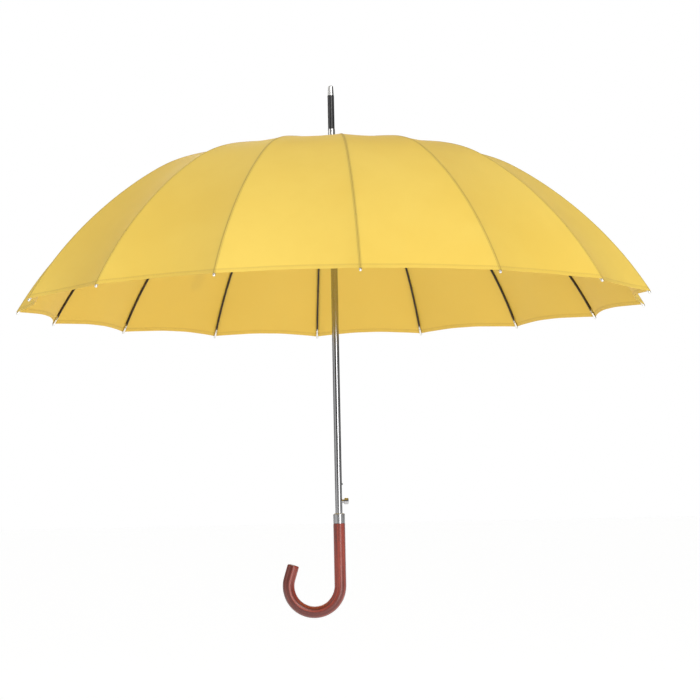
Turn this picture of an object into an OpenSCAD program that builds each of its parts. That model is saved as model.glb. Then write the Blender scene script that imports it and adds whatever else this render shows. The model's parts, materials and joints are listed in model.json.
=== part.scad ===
// Straight umbrella with sixteen ribs, an automatic opening runner and a crook handle.
// Millimetres, +Z up along the shaft. The origin is on the shaft's axis, in the middle of the grip.

/* [Canopy] */
// Number of ribs, and of cloth panels between them
rib_count = 16; // [8:4:16]
// Direction of the first rib, in degrees from +X
first_rib = 4.42; // [0:0.01:20]
// Radius at the rib tips
tip_r = 518; // [400:1:620]
// Height of the rib tips above the grip's middle
tip_h = 400.6; // [380:0.1:460]
// Radius of the knee, where the bend of a rib starts
knee_r = 262; // [215:1:310]
// Height of the knee
knee_h = 636; // [600:1:645]
// Rise of the upper arc of a rib above its chord
upper_bow = 3.9; // [2:0.1:8]
// Rise of the lower arc of a rib above its chord
lower_bow = 25.9; // [15:0.1:40]
// Thickness of the cloth, with its seams
cloth_t = 0.4; // [0.3:0.1:1]
// Gap between the ribs and the cloth
cloth_gap = 1.2; // [1.2:0.1:2]
// Dip of the cloth between two ribs, as a share of the distance between them
cloth_dip = 0.05; // [0:0.01:0.08]
// Length of rib that stands past the cloth's corner
bare_tip = 6; // [3:0.5:10]

/* [Ribs and stretchers] */
// Width of a rib
rib_w = 2.6; // [2.2:0.1:2.8]
// Height of a rib
rib_t = 3; // [2.4:0.1:3.6]
// Width of a stretcher
stretcher_w = 2.2; // [1.8:0.1:2.4]
// Height of a stretcher
stretcher_t = 2.4; // [2:0.1:3]
// Thickness of the flattened eye at each end
eye_t = 1.6; // [1.2:0.1:1.8]
// Radius of a rivet in the ribs
rivet_r = 0.75; // [0.6:0.05:1]
// Drop of the stretcher's rivet under the rib's middle line
clip_drop = 4; // [3.8:0.1:6]
// Distance from the knee to the stretcher's rivet, along the chord
clip_back = 8; // [7:0.5:14]

/* [Shaft] */
// Outer radius of the shaft tube
tube_r = 5.75; // [5:0.05:7]
// Wall of the shaft tube
tube_wall = 0.6; // [0.5:0.05:0.9]
// Height of the crown's rib pivots
crown_h = 680; // [672:1:760]
// Radius of the ring that the rib pivots lie on
crown_r = 10.5; // [9.5:0.1:14]
// Height of the runner's pivots when the umbrella is open
runner_h = 536; // [500:1:560]
// Travel of the runner from open to closed
runner_travel = 364.6; // [300:0.1:375]
// Length of the runner's sleeve under its pivots
sleeve_l = 62; // [50:1:64]
// Radius of the ferrule
ferrule_r = 5.5; // [5:0.1:7]
// Length of the ferrule
ferrule_l = 57; // [40:1:80]
// Length of the ferrule's tip
ferrule_tip_l = 16.5; // [10:0.5:25]

/* [Handle] */
// Radius of the wooden handle
handle_r = 9.6; // [8.5:0.1:12]
// Height of the handle's top end, under the collar
handle_top = 50; // [40:1:60]
// Length of the straight part of the handle
handle_straight = 101; // [85:1:130]
// Radius of the crook, to the middle of the wood
crook_r = 42.2; // [36:0.2:52]
// Turn of the crook, in degrees
crook_turn = 197; // [170:1:205]
// Length of the straight end of the crook
crook_end = 20.7; // [10:0.1:35]
// How much the edge of the crook's end is rounded
tip_round = 2.6; // [1:0.1:5]
// Length of the metal collar
collar_l = 16; // [10:0.5:17]
// Radius of the metal collar
collar_r = 9.5; // [8.5:0.1:12]
// Depth that the shaft goes into the handle
shaft_seat = 60; // [40:1:80]
// Height of the push button
button_h = 86; // [84:0.5:90]
// Radius of the push button's head
button_r = 5.4; // [4:0.1:7]

/* [Hidden] */
function two(n) = str(n < 10 ? "0" : "", n);
$fn = 48;

// Clearances: a fixed fit, a turning or sliding fit, and a plain gap
fit = 0.02;
run = 0.1;
gap = 0.2;
// A cut goes this far past the face that it opens, and one piece of metal sinks this far into the next
past = 1;
weld = 0.5;
// The crook's turned tip is this much slimmer than the bend that it grows from
tip_step = 0.1;

black = [0.07, 0.065, 0.06];
steel = [0.75, 0.75, 0.77];
yellow = [0.93, 0.78, 0.38];
mahogany = [0.35, 0.10, 0.05];

step = 360 / rib_count;
crown = [crown_r, crown_h];
knee = [knee_r, knee_h];
tip = [tip_r, tip_h];
wire_r = 0.7;
hub_r = crown_r + 2.2;
hub_t = 7;
hub_rise = rib_t / 2 + 0.5;
blade_l = 7;
eye_r = rib_t / 2 + 0.7;
lap_t = 1.1;
lap_gap = 0.1;
knee_eye_r = rib_t / 2 + 0.7;
knee_end = 4.5;
cheek_t = 0.6;
stretcher_eye_r = 1.9;
runner_bore = tube_r + run;
sleeve_r = tube_r + 2.75;
flange_r = sleeve_r + 1.5;
runner_pivot_r = sleeve_r + 2.5;
runner_hub_r = runner_pivot_r + 1.6;
runner_hub_t = 8;
flange_t = 4;
slot_w = stretcher_w + 2 * gap;
slot_root = runner_pivot_r - stretcher_eye_r - gap;
tube_bore = tube_r - tube_wall;
tube_top = crown_h + 20;
tube_foot = handle_top - shaft_seat;
cap_foot = crown_h + rib_t / 2 + cloth_gap + cloth_t + 1.4;
ferrule_foot = crown_h + 22.5;
ferrule_bore = 3.5;
plug_l = 15;
lug_w = 2;
lug_t = 4;
lug_z = 2;
lug_in = 2;
spring_r = tube_bore - 1;
spring_wire = 0.45;
spring_turns = 60;
neck_r = 3;
head_in = tube_r + 3.15;
head_out = head_in + 7.3;
catch_w = 3;
catch_t = 2;
// The catch stands this far above the foot of the closed runner
catch_up = 5;
catch_z = runner_h - runner_travel - sleeve_l + catch_up;
spring_foot = catch_z + catch_t + 1;
catch_out = tube_r + 1.45;

// ---- Arcs of a rib, in the plane of radius and height ----

function unit(v) = v / norm(v);
function up_of(v) = [-v.y, v.x];
function bow_r(p, q, bow) = (pow(norm(q - p) / 2, 2) + bow * bow) / (2 * bow);
function centre_of(p, q, bow) = (p + q) / 2 - up_of(unit(q - p)) * (bow_r(p, q, bow) - bow);
function angle_of(c, p) = atan2(p.y - c.y, p.x - c.x);
function degrees_for(len, r) = len / r * 180 / PI;

upper_c = centre_of(crown, knee, upper_bow);
upper_r = bow_r(crown, knee, upper_bow);
upper_from = angle_of(upper_c, crown);
upper_to = angle_of(upper_c, knee);
lower_c = centre_of(knee, tip, lower_bow);
lower_r = bow_r(knee, tip, lower_bow);
lower_from = angle_of(lower_c, knee);
lower_to = angle_of(lower_c, tip);
chord = unit(knee - crown);
rivet = knee - chord * clip_back - up_of(chord) * clip_drop;
runner_pivot = [runner_pivot_r, runner_h];

function on_arc(c, r, a) = c + r * [cos(a), sin(a)];

// A bar of constant section bent to an arc, from angle a down to angle b
module bent_bar(c, r, a, b) {
    translate([c.x, 0, c.y]) rotate([90, 0, 0])
        rotate_extrude(start = b, angle = a - b, $fn = 360) translate([r, 0]) children();
}

// A fluted section: a square bar with a groove along its inner side
module fluted(w, t) {
    groove_w = w * 0.45;
    groove_d = t * 0.55;
    difference() {
        square([t, w], center = true);
        translate([-t / 2 - past, -groove_w / 2]) square([groove_d + past, groove_w]);
    }
}

// A disc or a hole whose axis is the hinge line, across the plane of a rib
module across(p, r, w, y = 0) {
    translate([p.x, y, p.y]) rotate([90, 0, 0]) cylinder(r = r, h = w, center = true);
}

// A flat plate in the plane of a rib, between two points; more sinks its first end into the piece before it
module strip(p, q, t, w, y = 0, more = 0) {
    translate([p.x, y, p.y]) rotate([0, -atan2(q.y - p.y, q.x - p.x), 0])
        translate([-more, -w / 2, -t / 2]) cube([norm(q - p) + more, w, t]);
}

module at_rib(i) {
    rotate([0, 0, first_rib + (i - 1) * step]) children();
}

// ---- Ribs and stretchers ----

module rib_inner() {
    blade = degrees_for(blade_l, upper_r);
    plate = degrees_for(knee_end, upper_r);
    sink = degrees_for(weld, upper_r);
    lap_y = (lap_gap + lap_t) / 2;
    head_t = 0.5;
    head_y = lap_t + 2 * lap_gap + head_t / 2;
    color(black) difference() {
        union() {
            across(crown, eye_r, eye_t);
            bent_bar(upper_c, upper_r, upper_from, upper_from - blade) square([rib_t, eye_t], center = true);
            bent_bar(upper_c, upper_r, upper_from - blade + sink, upper_to + plate) fluted(rib_w, rib_t);
            bent_bar(upper_c, upper_r, upper_to + plate + sink, upper_to)
                translate([0, -lap_y]) square([rib_t, lap_t], center = true);
            across(knee, knee_eye_r, lap_t, lap_y);
            across(knee, rivet_r, 2 * head_y);
            across(knee, rivet_r + 0.45, head_t, -head_y);
        }
        across(crown, wire_r + gap, eye_t + past);
    }
    color(black) clip();
}

// The clip folded round the rib, with the rivet that a stretcher turns on
module clip() {
    cheek_y = eye_t / 2 + gap + cheek_t / 2;
    top = rivet + up_of(chord) * (clip_drop + rib_t / 4);
    for (y = [-cheek_y, cheek_y]) {
        across(rivet, stretcher_eye_r, cheek_t, y);
        strip(rivet, top, 2 * stretcher_eye_r, cheek_t, y);
    }
    across(rivet, rivet_r, 2 * cheek_y + cheek_t);
}

module rib_outer() {
    plate = degrees_for(knee_end, lower_r);
    sink = degrees_for(weld, lower_r);
    cap_l = 11;
    cap_r = 2;
    cap = degrees_for(cap_l, lower_r);
    lap_y = (lap_gap + lap_t) / 2;
    color(black) difference() {
        union() {
            across(knee, knee_eye_r, lap_t, -lap_y);
            bent_bar(lower_c, lower_r, lower_from, lower_from - plate)
                translate([0, lap_y]) square([rib_t, lap_t], center = true);
            bent_bar(lower_c, lower_r, lower_from - plate + sink, lower_to + cap / 2) fluted(rib_w, rib_t);
        }
        across(knee, rivet_r + run, 2 * rib_w);
    }
    color(steel) {
        bent_bar(lower_c, lower_r, lower_to + cap, lower_to) circle(r = cap_r);
        translate([tip.x, 0, tip.y]) sphere(r = cap_r);
    }
}

module stretcher() {
    clear = stretcher_eye_r + 3;
    along = unit(runner_pivot - rivet);
    outer_end = rivet + along * clear;
    inner_end = runner_pivot - along * (runner_hub_t + 2);
    color(black) difference() {
        union() {
            across(rivet, stretcher_eye_r - gap, eye_t);
            strip(rivet, outer_end + along * weld, stretcher_t, eye_t);
            strip(outer_end, inner_end, stretcher_t, stretcher_w);
            strip(inner_end, runner_pivot, stretcher_t, eye_t, more = weld);
            across(runner_pivot, stretcher_eye_r, eye_t);
        }
        across(rivet, rivet_r + run, 2 * rib_w);
        across(runner_pivot, wire_r + gap, 2 * rib_w);
    }
}

// ---- Crown ----

module crown_hub() {
    slot = eye_t + 2 * gap;
    root = crown_r - eye_r - gap;
    color(black) difference() {
        translate([0, 0, crown_h + hub_rise - hub_t]) cylinder(r = hub_r, h = hub_t);
        translate([0, 0, crown_h - hub_t]) cylinder(r = tube_r + fit, h = 2 * hub_t);
        for (i = [1:rib_count])
            at_rib(i) translate([root, -slot / 2, crown_h - hub_t]) cube([hub_r, slot, 2 * hub_t]);
        translate([0, 0, crown_h]) rotate_extrude() translate([crown_r, 0]) circle(r = wire_r + fit);
    }
}

module crown_wire() {
    color(steel) translate([0, 0, crown_h]) rotate_extrude() translate([crown_r, 0]) circle(r = wire_r);
}

module crown_cap() {
    brim_r = hub_r + 1.5;
    brim_t = 1;
    neck = tube_r + 0.25;
    color(steel) difference() {
        translate([0, 0, cap_foot]) rotate_extrude() polygon([
            [tube_r + fit, 0], [brim_r, 0], [brim_r, brim_t], [neck + 1, brim_t + 2],
            [neck, brim_t + 3], [neck, ferrule_foot - cap_foot], [tube_r + fit, ferrule_foot - cap_foot]]);
    }
}

module ferrule_tube() {
    color(black) difference() {
        union() {
            translate([0, 0, ferrule_foot]) cylinder(r = ferrule_r, h = ferrule_l);
            translate([0, 0, tube_top - plug_l])
                cylinder(r = tube_bore - fit, h = ferrule_foot - tube_top + plug_l + fit);
        }
        translate([0, 0, ferrule_foot + ferrule_l / 2]) cylinder(r = ferrule_bore, h = ferrule_l);
    }
}

module ferrule_tip() {
    foot = ferrule_foot + ferrule_l;
    end_r = ferrule_r * 0.78;
    round_r = 2;
    color(steel) {
        translate([0, 0, foot - plug_l]) cylinder(r = ferrule_bore - fit, h = plug_l + round_r);
        translate([0, 0, foot]) rotate_extrude() polygon(concat(
            [[0, 0], [ferrule_r - 0.2, 0]],
            [for (a = [0:15:90]) [end_r - round_r + round_r * cos(a),
                ferrule_tip_l - round_r + round_r * sin(a)]],
            [[0, ferrule_tip_l]]));
    }
}

// ---- Shaft ----

module shaft_tube() {
    lug_top = runner_h + lug_z + lug_t + gap;
    lug_low = runner_h - runner_travel + lug_z - lug_t - gap;
    color(steel) difference() {
        translate([0, 0, tube_foot]) cylinder(r = tube_r, h = tube_top - tube_foot);
        translate([0, 0, tube_foot - past]) cylinder(r = tube_bore, h = tube_top - tube_foot + 2 * past);
        // the slot that the runner's lug slides in
        translate([-lug_w / 2 - gap, 0, lug_low])
            cube([lug_w + 2 * gap, 2 * tube_r, lug_top - lug_low]);
        // the hole for the button's neck, and the one for its catch
        translate([0, 0, button_h]) rotate([0, 90, 0]) cylinder(r = neck_r + run, h = 2 * tube_r);
        translate([0, -catch_w / 2 - gap, button_h])
            cube([2 * tube_r, catch_w + 2 * gap, catch_z - button_h + catch_t + gap]);
    }
}

module opening_spring() {
    foot = spring_foot;
    top = runner_h + lug_z - lug_t / 2 - gap;
    per_turn = 6;
    rings = spring_turns * per_turn;
    sides = 4;
    color(steel) polyhedron(
        points = [for (i = [0:rings]) let (a = i * 360 / per_turn,
                z = foot + spring_wire + (top - foot - 2 * spring_wire) * i / rings)
            for (j = [0:sides - 1]) let (b = j * 360 / sides, r = spring_r + spring_wire * cos(b))
                [r * cos(a), r * sin(a), z + spring_wire * sin(b)]],
        faces = concat(
            [[for (j = [0:sides - 1]) j]],
            [for (i = [0:rings - 1], j = [0:sides - 1]) let (a = i * sides, n = (j + 1) % sides)
                each [[a + j, a + sides + j, a + sides + n], [a + j, a + sides + n, a + n]]],
            [[for (j = [sides - 1:-1:0]) rings * sides + j]]));
}

module runner() {
    top = runner_h + runner_hub_t / 2;
    foot = runner_h - sleeve_l;
    color(black) difference() {
        union() {
            translate([0, 0, runner_h - runner_hub_t / 2]) cylinder(r = runner_hub_r, h = runner_hub_t);
            translate([0, 0, foot]) cylinder(r = sleeve_r, h = top + 3 - foot);
            translate([0, 0, foot]) cylinder(r = flange_r, h = flange_t);
        }
        translate([0, 0, foot - past]) cylinder(r = runner_bore, h = sleeve_l + runner_hub_t + 2 * past);
        for (i = [1:rib_count])
            at_rib(i) translate([slot_root, -slot_w / 2, runner_h - runner_hub_t])
                cube([runner_hub_r, slot_w, 2 * runner_hub_t]);
        // the pocket that the catch drops into when the umbrella is closed
        translate([0, 0, catch_z + runner_travel - catch_t - gap])
            cylinder(r = catch_out + gap, h = 2 * (catch_t + gap));
    }
    color(steel) translate([-lug_w / 2, -lug_in, runner_h + lug_z - lug_t / 2])
        cube([lug_w, sleeve_r - 1 + lug_in, lug_t]);
}

// ---- Handle ----

module push_button() {
    arm_t = 1.4;
    arm_x = tube_bore - 2.6;
    color(steel) {
        translate([arm_x, 0, button_h]) rotate([0, 90, 0]) cylinder(r = neck_r, h = head_in + 1 - arm_x);
        translate([0, 0, button_h]) rotate([0, 90, 0]) rotate_extrude() polygon([
            [0, head_in], [button_r - 0.8, head_in], [button_r, head_in + 0.8],
            [button_r, head_out - 1.6], [button_r - 0.5, head_out - 0.6],
            [button_r - 1.6, head_out], [0, head_out]]);
        translate([arm_x, -catch_w / 2, button_h - neck_r])
            cube([arm_t, catch_w, catch_z - button_h + neck_r + catch_t - gap]);
        translate([arm_x, catch_w / 2, catch_z]) rotate([90, 0, 0]) linear_extrude(catch_w)
            polygon([[0, -catch_t], [catch_out - arm_x, -catch_t], [catch_out - arm_x, 0],
                [tube_r - arm_x, catch_t - gap], [0, catch_t - gap]]);
    }
}

module handle_collar() {
    bevel = 1;
    color(steel) translate([0, 0, handle_top]) rotate_extrude() polygon([
        [tube_r + fit, 0], [collar_r, 0], [collar_r, collar_l - bevel],
        [collar_r - bevel, collar_l], [tube_r + fit, collar_l]]);
}

module crook_handle() {
    foot = handle_top - handle_straight;
    color(mahogany) difference() {
        union() {
            translate([0, 0, foot]) cylinder(r = handle_r, h = handle_straight);
            translate([-crook_r, 0, foot]) rotate([90, 0, 0])
                rotate_extrude(start = -crook_turn, angle = crook_turn) translate([crook_r, 0])
                    circle(r = handle_r);
            translate([-crook_r, 0, foot]) rotate([0, crook_turn, 0]) translate([crook_r, 0, weld])
                rotate([0, 180, 0]) rotate_extrude() crook_tip(handle_r - tip_step);
        }
        translate([0, 0, tube_foot]) cylinder(r = tube_r + fit, h = shaft_seat + past);
    }
}

// Half of the crook's straight end with its flat, rounded-off tip, to be turned round its axis
module crook_tip(r) {
    polygon(concat([[0, 0], [r, 0]],
        [for (a = [0:15:90]) [r - tip_round * (1 - cos(a)), crook_end + weld + tip_round * sin(a)]],
        [[0, crook_end + weld + tip_round + 0.2]]));
}

// ---- Cloth ----

upper_steps = 4;
lower_steps = 10;
across_steps = 4;
seam = 0.15;

// A point of the cloth's profile, this far outside the ribs' middle line
function profile(i, off) = i <= upper_steps
    ? on_arc(upper_c, upper_r + off,
        upper_from - (upper_from - upper_to) * i / upper_steps)
    : on_arc(lower_c, lower_r + off,
        lower_from - (lower_from - lower_to - degrees_for(bare_tip, lower_r)) * (i - upper_steps) / lower_steps);

// The same point across a panel: t goes from one rib to the next
function panel_point(i, t, off) =
    let (p = profile(i, off),
         half = step / 2,
         inset = seam / p.x * 180 / PI,
         side = p.x * sin(half - inset),
         mid = p.x * cos(half - inset),
         dip = cloth_dip * 2 * side * 4 * t * (1 - t))
    [mid, side * (2 * t - 1), p.y - dip];

module panel() {
    rows = upper_steps + lower_steps;
    inner = rib_t / 2 + cloth_gap;
    n = across_steps + 1;
    layer = (rows + 1) * n;
    function at(i, j) = i * n + j;
    polyhedron(
        points = [for (off = [inner, inner + cloth_t], i = [0:rows], j = [0:across_steps])
            panel_point(i, j / across_steps, off)],
        faces = concat(
            [for (i = [0:rows - 1], j = [0:across_steps - 1])
                each [[at(i, j), at(i + 1, j), at(i + 1, j + 1)], [at(i, j), at(i + 1, j + 1), at(i, j + 1)]]],
            [for (i = [0:rows - 1], j = [0:across_steps - 1])
                each [[layer + at(i, j), layer + at(i + 1, j + 1), layer + at(i + 1, j)],
                    [layer + at(i, j), layer + at(i, j + 1), layer + at(i + 1, j + 1)]]],
            [for (i = [0:rows - 1]) each [
                [at(i, 0), layer + at(i, 0), layer + at(i + 1, 0)],
                [at(i, 0), layer + at(i + 1, 0), at(i + 1, 0)],
                [at(i, n - 1), at(i + 1, n - 1), layer + at(i + 1, n - 1)],
                [at(i, n - 1), layer + at(i + 1, n - 1), layer + at(i, n - 1)]]],
            [for (j = [0:across_steps - 1]) each [
                [at(0, j), at(0, j + 1), layer + at(0, j + 1)],
                [at(0, j), layer + at(0, j + 1), layer + at(0, j)],
                [at(rows, j), layer + at(rows, j), layer + at(rows, j + 1)],
                [at(rows, j), layer + at(rows, j + 1), at(rows, j + 1)]]]));
}

module canopy() {
    color(yellow) for (i = [1:rib_count])
        rotate([0, 0, first_rib + (i - 0.5) * step]) panel();
}

shaft_tube();
crown_hub();
crown_wire();
crown_cap();
ferrule_tube();
ferrule_tip();
runner();
opening_spring();
push_button();
handle_collar();
crook_handle();
canopy();
for (i = [1:rib_count]) {
    at_rib(i) rib_inner();
    at_rib(i) rib_outer();
    at_rib(i) stretcher();
}
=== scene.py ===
# %% [markdown]
# # A stick umbrella with sixteen ribs
# The umbrella is built round a frame that is already made: the shaft, the ribs, the stretchers and
# the handle arrive as finished solids, each on the body that it moves with. What is left to make is
# what a solid modeller is poor at: the cloth with its seams and hem, the lacquered wood, the small
# metal trim, and the finish of every surface.
#
# The file is a lesson. Each step starts with a few words on what the piece is on a real umbrella,
# how it could be made, and why it was made this way.

import json
import math

import bmesh
import bpy
from mathutils import Matrix, Vector


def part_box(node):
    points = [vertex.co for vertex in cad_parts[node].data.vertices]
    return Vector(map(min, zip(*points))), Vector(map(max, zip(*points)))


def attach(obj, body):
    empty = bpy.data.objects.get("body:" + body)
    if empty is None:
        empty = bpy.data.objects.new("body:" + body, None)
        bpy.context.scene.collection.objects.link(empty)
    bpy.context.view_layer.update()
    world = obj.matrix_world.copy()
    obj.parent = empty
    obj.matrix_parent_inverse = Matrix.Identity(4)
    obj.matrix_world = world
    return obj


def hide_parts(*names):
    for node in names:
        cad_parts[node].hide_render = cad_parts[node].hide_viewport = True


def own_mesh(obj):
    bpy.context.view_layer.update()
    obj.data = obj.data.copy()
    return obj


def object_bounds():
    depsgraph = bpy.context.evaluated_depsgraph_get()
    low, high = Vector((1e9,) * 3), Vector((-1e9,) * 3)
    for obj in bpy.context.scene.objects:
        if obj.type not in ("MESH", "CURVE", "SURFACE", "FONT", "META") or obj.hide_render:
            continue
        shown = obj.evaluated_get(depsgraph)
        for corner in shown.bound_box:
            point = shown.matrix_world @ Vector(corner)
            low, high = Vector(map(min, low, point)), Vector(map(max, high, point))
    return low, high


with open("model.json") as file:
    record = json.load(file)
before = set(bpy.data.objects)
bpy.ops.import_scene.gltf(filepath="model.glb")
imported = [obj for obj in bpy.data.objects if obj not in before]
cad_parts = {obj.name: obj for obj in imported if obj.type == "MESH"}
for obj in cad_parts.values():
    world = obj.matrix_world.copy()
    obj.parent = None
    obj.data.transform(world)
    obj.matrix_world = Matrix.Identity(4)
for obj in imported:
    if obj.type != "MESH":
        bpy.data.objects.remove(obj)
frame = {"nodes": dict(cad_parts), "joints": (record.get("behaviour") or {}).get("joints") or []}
cad_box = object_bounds()
joints = {j["name"]: j for j in frame["joints"]}
RIBS = sum(name.startswith("rib_inner_") for name in frame["nodes"])
STEP = 2 * math.pi / RIBS


def numbered(word, i):
    return f"{word}_{i:02d}"


def radius_and_height(p):
    return Vector((math.hypot(p[0], p[1]), p[2]))


crown = radius_and_height(joints["rib_fold_01"]["pos_m"])
knee = radius_and_height(joints["rib_flex_01"]["pos_m"])
first_pivot = joints["rib_fold_01"]["pos_m"]
FIRST = math.atan2(first_pivot[1], first_pivot[0])
print("ribs", RIBS, "crown", crown, "knee", knee, "first rib at", math.degrees(FIRST))

# %% [markdown]
# ## Working by hand, in code
# Blender's operators act on whatever is selected, and the frame arrives selected. So each new piece
# starts with everything deselected, and small helpers do what the mouse does: pick a mode, pick faces
# or edges by their place, and apply a modifier.

# %% Helpers for modelling


def fresh():
    """Nothing selected, in object mode."""
    if bpy.context.mode != "OBJECT":
        bpy.ops.object.mode_set(mode="OBJECT")
    bpy.ops.object.select_all(action="DESELECT")


def only(obj):
    """This object alone selected and active."""
    fresh()
    obj.select_set(True)
    bpy.context.view_layer.objects.active = obj
    return obj


def named(obj, name):
    obj.name = name
    obj.data.name = name
    return obj


def pick(obj, faces=None, edges=None):
    """In edit mode, selects the faces or the edges that the test says yes to, and nothing else."""
    bpy.ops.object.mode_set(mode="EDIT")
    mesh = bmesh.from_edit_mesh(obj.data)
    for group in (mesh.verts, mesh.edges, mesh.faces):
        for part in group:
            part.select = False
    bpy.context.tool_settings.mesh_select_mode = (False, not faces, bool(faces))
    wanted = faces or edges
    for part in mesh.faces if faces else mesh.edges:
        if wanted(part):
            part.select = True
    mesh.select_flush_mode()
    bmesh.update_edit_mesh(obj.data)


def modified(obj, kind, **settings):
    """Adds a modifier with these settings and applies it."""
    only(obj)
    modifier = obj.modifiers.new(kind.title(), kind)
    for key, value in settings.items():
        setattr(modifier, key, value)
    bpy.ops.object.modifier_apply(modifier=modifier.name)
    return obj


def settled(obj):
    """Puts the object's place, turn and size into its mesh, so that the object sits at the origin."""
    only(obj)
    bpy.ops.object.transform_apply(location=True, rotation=True, scale=True)
    return obj


def smooth(obj, degrees=35):
    only(obj)
    bpy.ops.object.shade_smooth_by_angle(angle=math.radians(degrees))
    return obj


def turned_copy(obj, name, angle):
    """A copy with its own mesh, turned about the shaft."""
    copy = obj.copy()
    copy.data = obj.data.copy()
    bpy.context.scene.collection.objects.link(copy)
    copy.data.transform(Matrix.Rotation(angle, 4, "Z"))
    return named(copy, name)


# %% [markdown]
# ## Camera and light
# The umbrella hangs in the air at about eye height, seen from a little under the rim and almost three
# metres away with a long lens. A long lens keeps the sixteen ribs in their true proportion. The camera
# looks slightly upwards, and leans by a degree. The room is a white studio: a soft light above and to
# the right with a tall softbox under it, a weaker light on the left, one behind, and a pale floor well
# below the handle.

# %% Camera, lights and floor
LENS = 90.12
CAMERA_AT = Vector((0.0235, -2.8764, 0.1002))
CAMERA_TILT = math.radians(94.6404)
CAMERA_ROLL = math.radians(-1.1776)

camera_data = bpy.data.cameras.new("camera")
camera_data.lens = LENS
camera = bpy.data.objects.new("camera", camera_data)
turn = Matrix.Rotation(CAMERA_TILT, 4, "X") @ Matrix.Rotation(CAMERA_ROLL, 4, "Z")
camera.matrix_world = Matrix.Translation(CAMERA_AT) @ turn
bpy.context.scene.collection.objects.link(camera)
bpy.context.scene.camera = camera


def area_light(name, at, aim, size, power):
    data = bpy.data.lights.new(name, "AREA")
    data.shape = "DISK"
    data.size = size
    data.energy = power
    light = bpy.data.objects.new(name, data)
    light.location = at
    light.rotation_euler = (Vector(aim) - Vector(at)).to_track_quat("-Z", "Y").to_euler()
    bpy.context.scene.collection.objects.link(light)
    return light


MIDDLE = (0, 0, 0.5)
LOW_SHAFT = (0, 0, 0.1)
SOFTBOX_TALL = 2.2
area_light("key", (1.45, -3.1, 2.3), MIDDLE, size=1.6, power=40)
area_light("fill", (-3.2, -1.6, 1.9), MIDDLE, size=2.4, power=10)
area_light("back", (-0.6, 3.4, 1.6), MIDDLE, size=2.2, power=34)
softbox = area_light("softbox", (1.35, -2.95, 0.2), LOW_SHAFT, size=1.0, power=32)
softbox.data.shape = "RECTANGLE"
softbox.data.size_y = SOFTBOX_TALL

FLOOR_DROP = 0.9
FLOOR_SIZE = 120
fresh()
bpy.ops.mesh.primitive_plane_add(size=FLOOR_SIZE, location=(0, 0, cad_box[0][2] - FLOOR_DROP))
floor = named(bpy.context.object, "floor")
settled(floor)
bpy.context.scene.view_settings.view_transform = "Standard"
print("camera", tuple(round(x, 3) for x in CAMERA_AT))

# %% [markdown]
# ## Shader sums as plain Python
# A material's pattern is arithmetic: distance, wave, mask, mix. Written as nodes it takes a screenful,
# so one small class wraps a socket and lets Python's own operators add the Math nodes. Any other kind
# of node comes from one method.

# %% The socket class


class Socket:
    """The output of a node, which arithmetic can be done on."""

    def __init__(self, tree, output):
        self.tree = tree
        self.output = output

    def math(self, operation, *values):
        return node(self.tree, "ShaderNodeMath", {"operation": operation}, dict(enumerate(values)))

    def __add__(self, other):
        return self.math("ADD", self, other)

    def __radd__(self, other):
        return self.math("ADD", other, self)

    def __sub__(self, other):
        return self.math("SUBTRACT", self, other)

    def __rsub__(self, other):
        return self.math("SUBTRACT", other, self)

    def __mul__(self, other):
        return self.math("MULTIPLY", self, other)

    def __rmul__(self, other):
        return self.math("MULTIPLY", other, self)

    def __abs__(self):
        return self.math("ABSOLUTE", self)

    def sine(self):
        return self.math("SINE", self)

    def fraction(self):
        return self.math("FRACT", self)

    def below(self, limit):
        return self.math("LESS_THAN", self, limit)

    def above(self, limit):
        return self.math("GREATER_THAN", self, limit)

    def least(self, other):
        return self.math("MINIMUM", self, other)

    def most(self, other):
        return self.math("MAXIMUM", self, other)

    def power(self, exponent):
        return self.math("POWER", self, exponent)

    def ramp(self, low, high, to_low=0.0, to_high=1.0):
        """Eases from to_low at low to to_high at high."""
        settings = {"interpolation_type": "SMOOTHSTEP"}
        inputs = {0: self, 1: low, 2: high, 3: to_low, 4: to_high}
        return node(self.tree, "ShaderNodeMapRange", settings, inputs)


def node(tree, kind, settings=None, inputs=None, output=0):
    """Adds a node: its settings first, then the values or links of its sockets."""
    made = tree.nodes.new(kind)
    for key, value in (settings or {}).items():
        setattr(made, key, value)
    for key, value in (inputs or {}).items():
        if isinstance(value, Socket):
            tree.links.new(value.output, made.inputs[key])
        else:
            made.inputs[key].default_value = value
    return Socket(tree, made.outputs[output])


def mixed(tree, share, a, b):
    """A colour between a and b. Each may be a colour or a socket."""
    rgba = [c if isinstance(c, Socket) else (*c, 1) for c in (a, b)]
    return node(tree, "ShaderNodeMix", {"data_type": "RGBA"}, {0: share, 6: rgba[0], 7: rgba[1]}, 2)


def parts_of(tree, vector):
    """The three numbers of a vector."""
    made = tree.nodes.new("ShaderNodeSeparateXYZ")
    tree.links.new(vector.output, made.inputs[0])
    return [Socket(tree, out) for out in made.outputs]


def place(tree):
    """Where a point is on the piece, in metres."""
    return node(tree, "ShaderNodeTexCoord", output=3)


def noise(tree, vector, scale, detail=3.0, roughness=0.5, distortion=0.0):
    inputs = {"Vector": vector, "Scale": scale, "Detail": detail}
    inputs |= {"Roughness": roughness, "Distortion": distortion}
    return node(tree, "ShaderNodeTexNoise", None, inputs)


def stretched(tree, vector, scale):
    return node(tree, "ShaderNodeMapping", {"vector_type": "POINT"}, {"Vector": vector, "Scale": scale})


def bump(tree, height, distance, strength=1.0):
    return node(tree, "ShaderNodeBump", None,
                {"Height": height, "Distance": distance, "Strength": strength})


def new_material(name):
    made = bpy.data.materials.new(name)
    made.use_nodes = True
    tree = made.node_tree
    shader = tree.nodes["Principled BSDF"]
    return made, tree, shader


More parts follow.
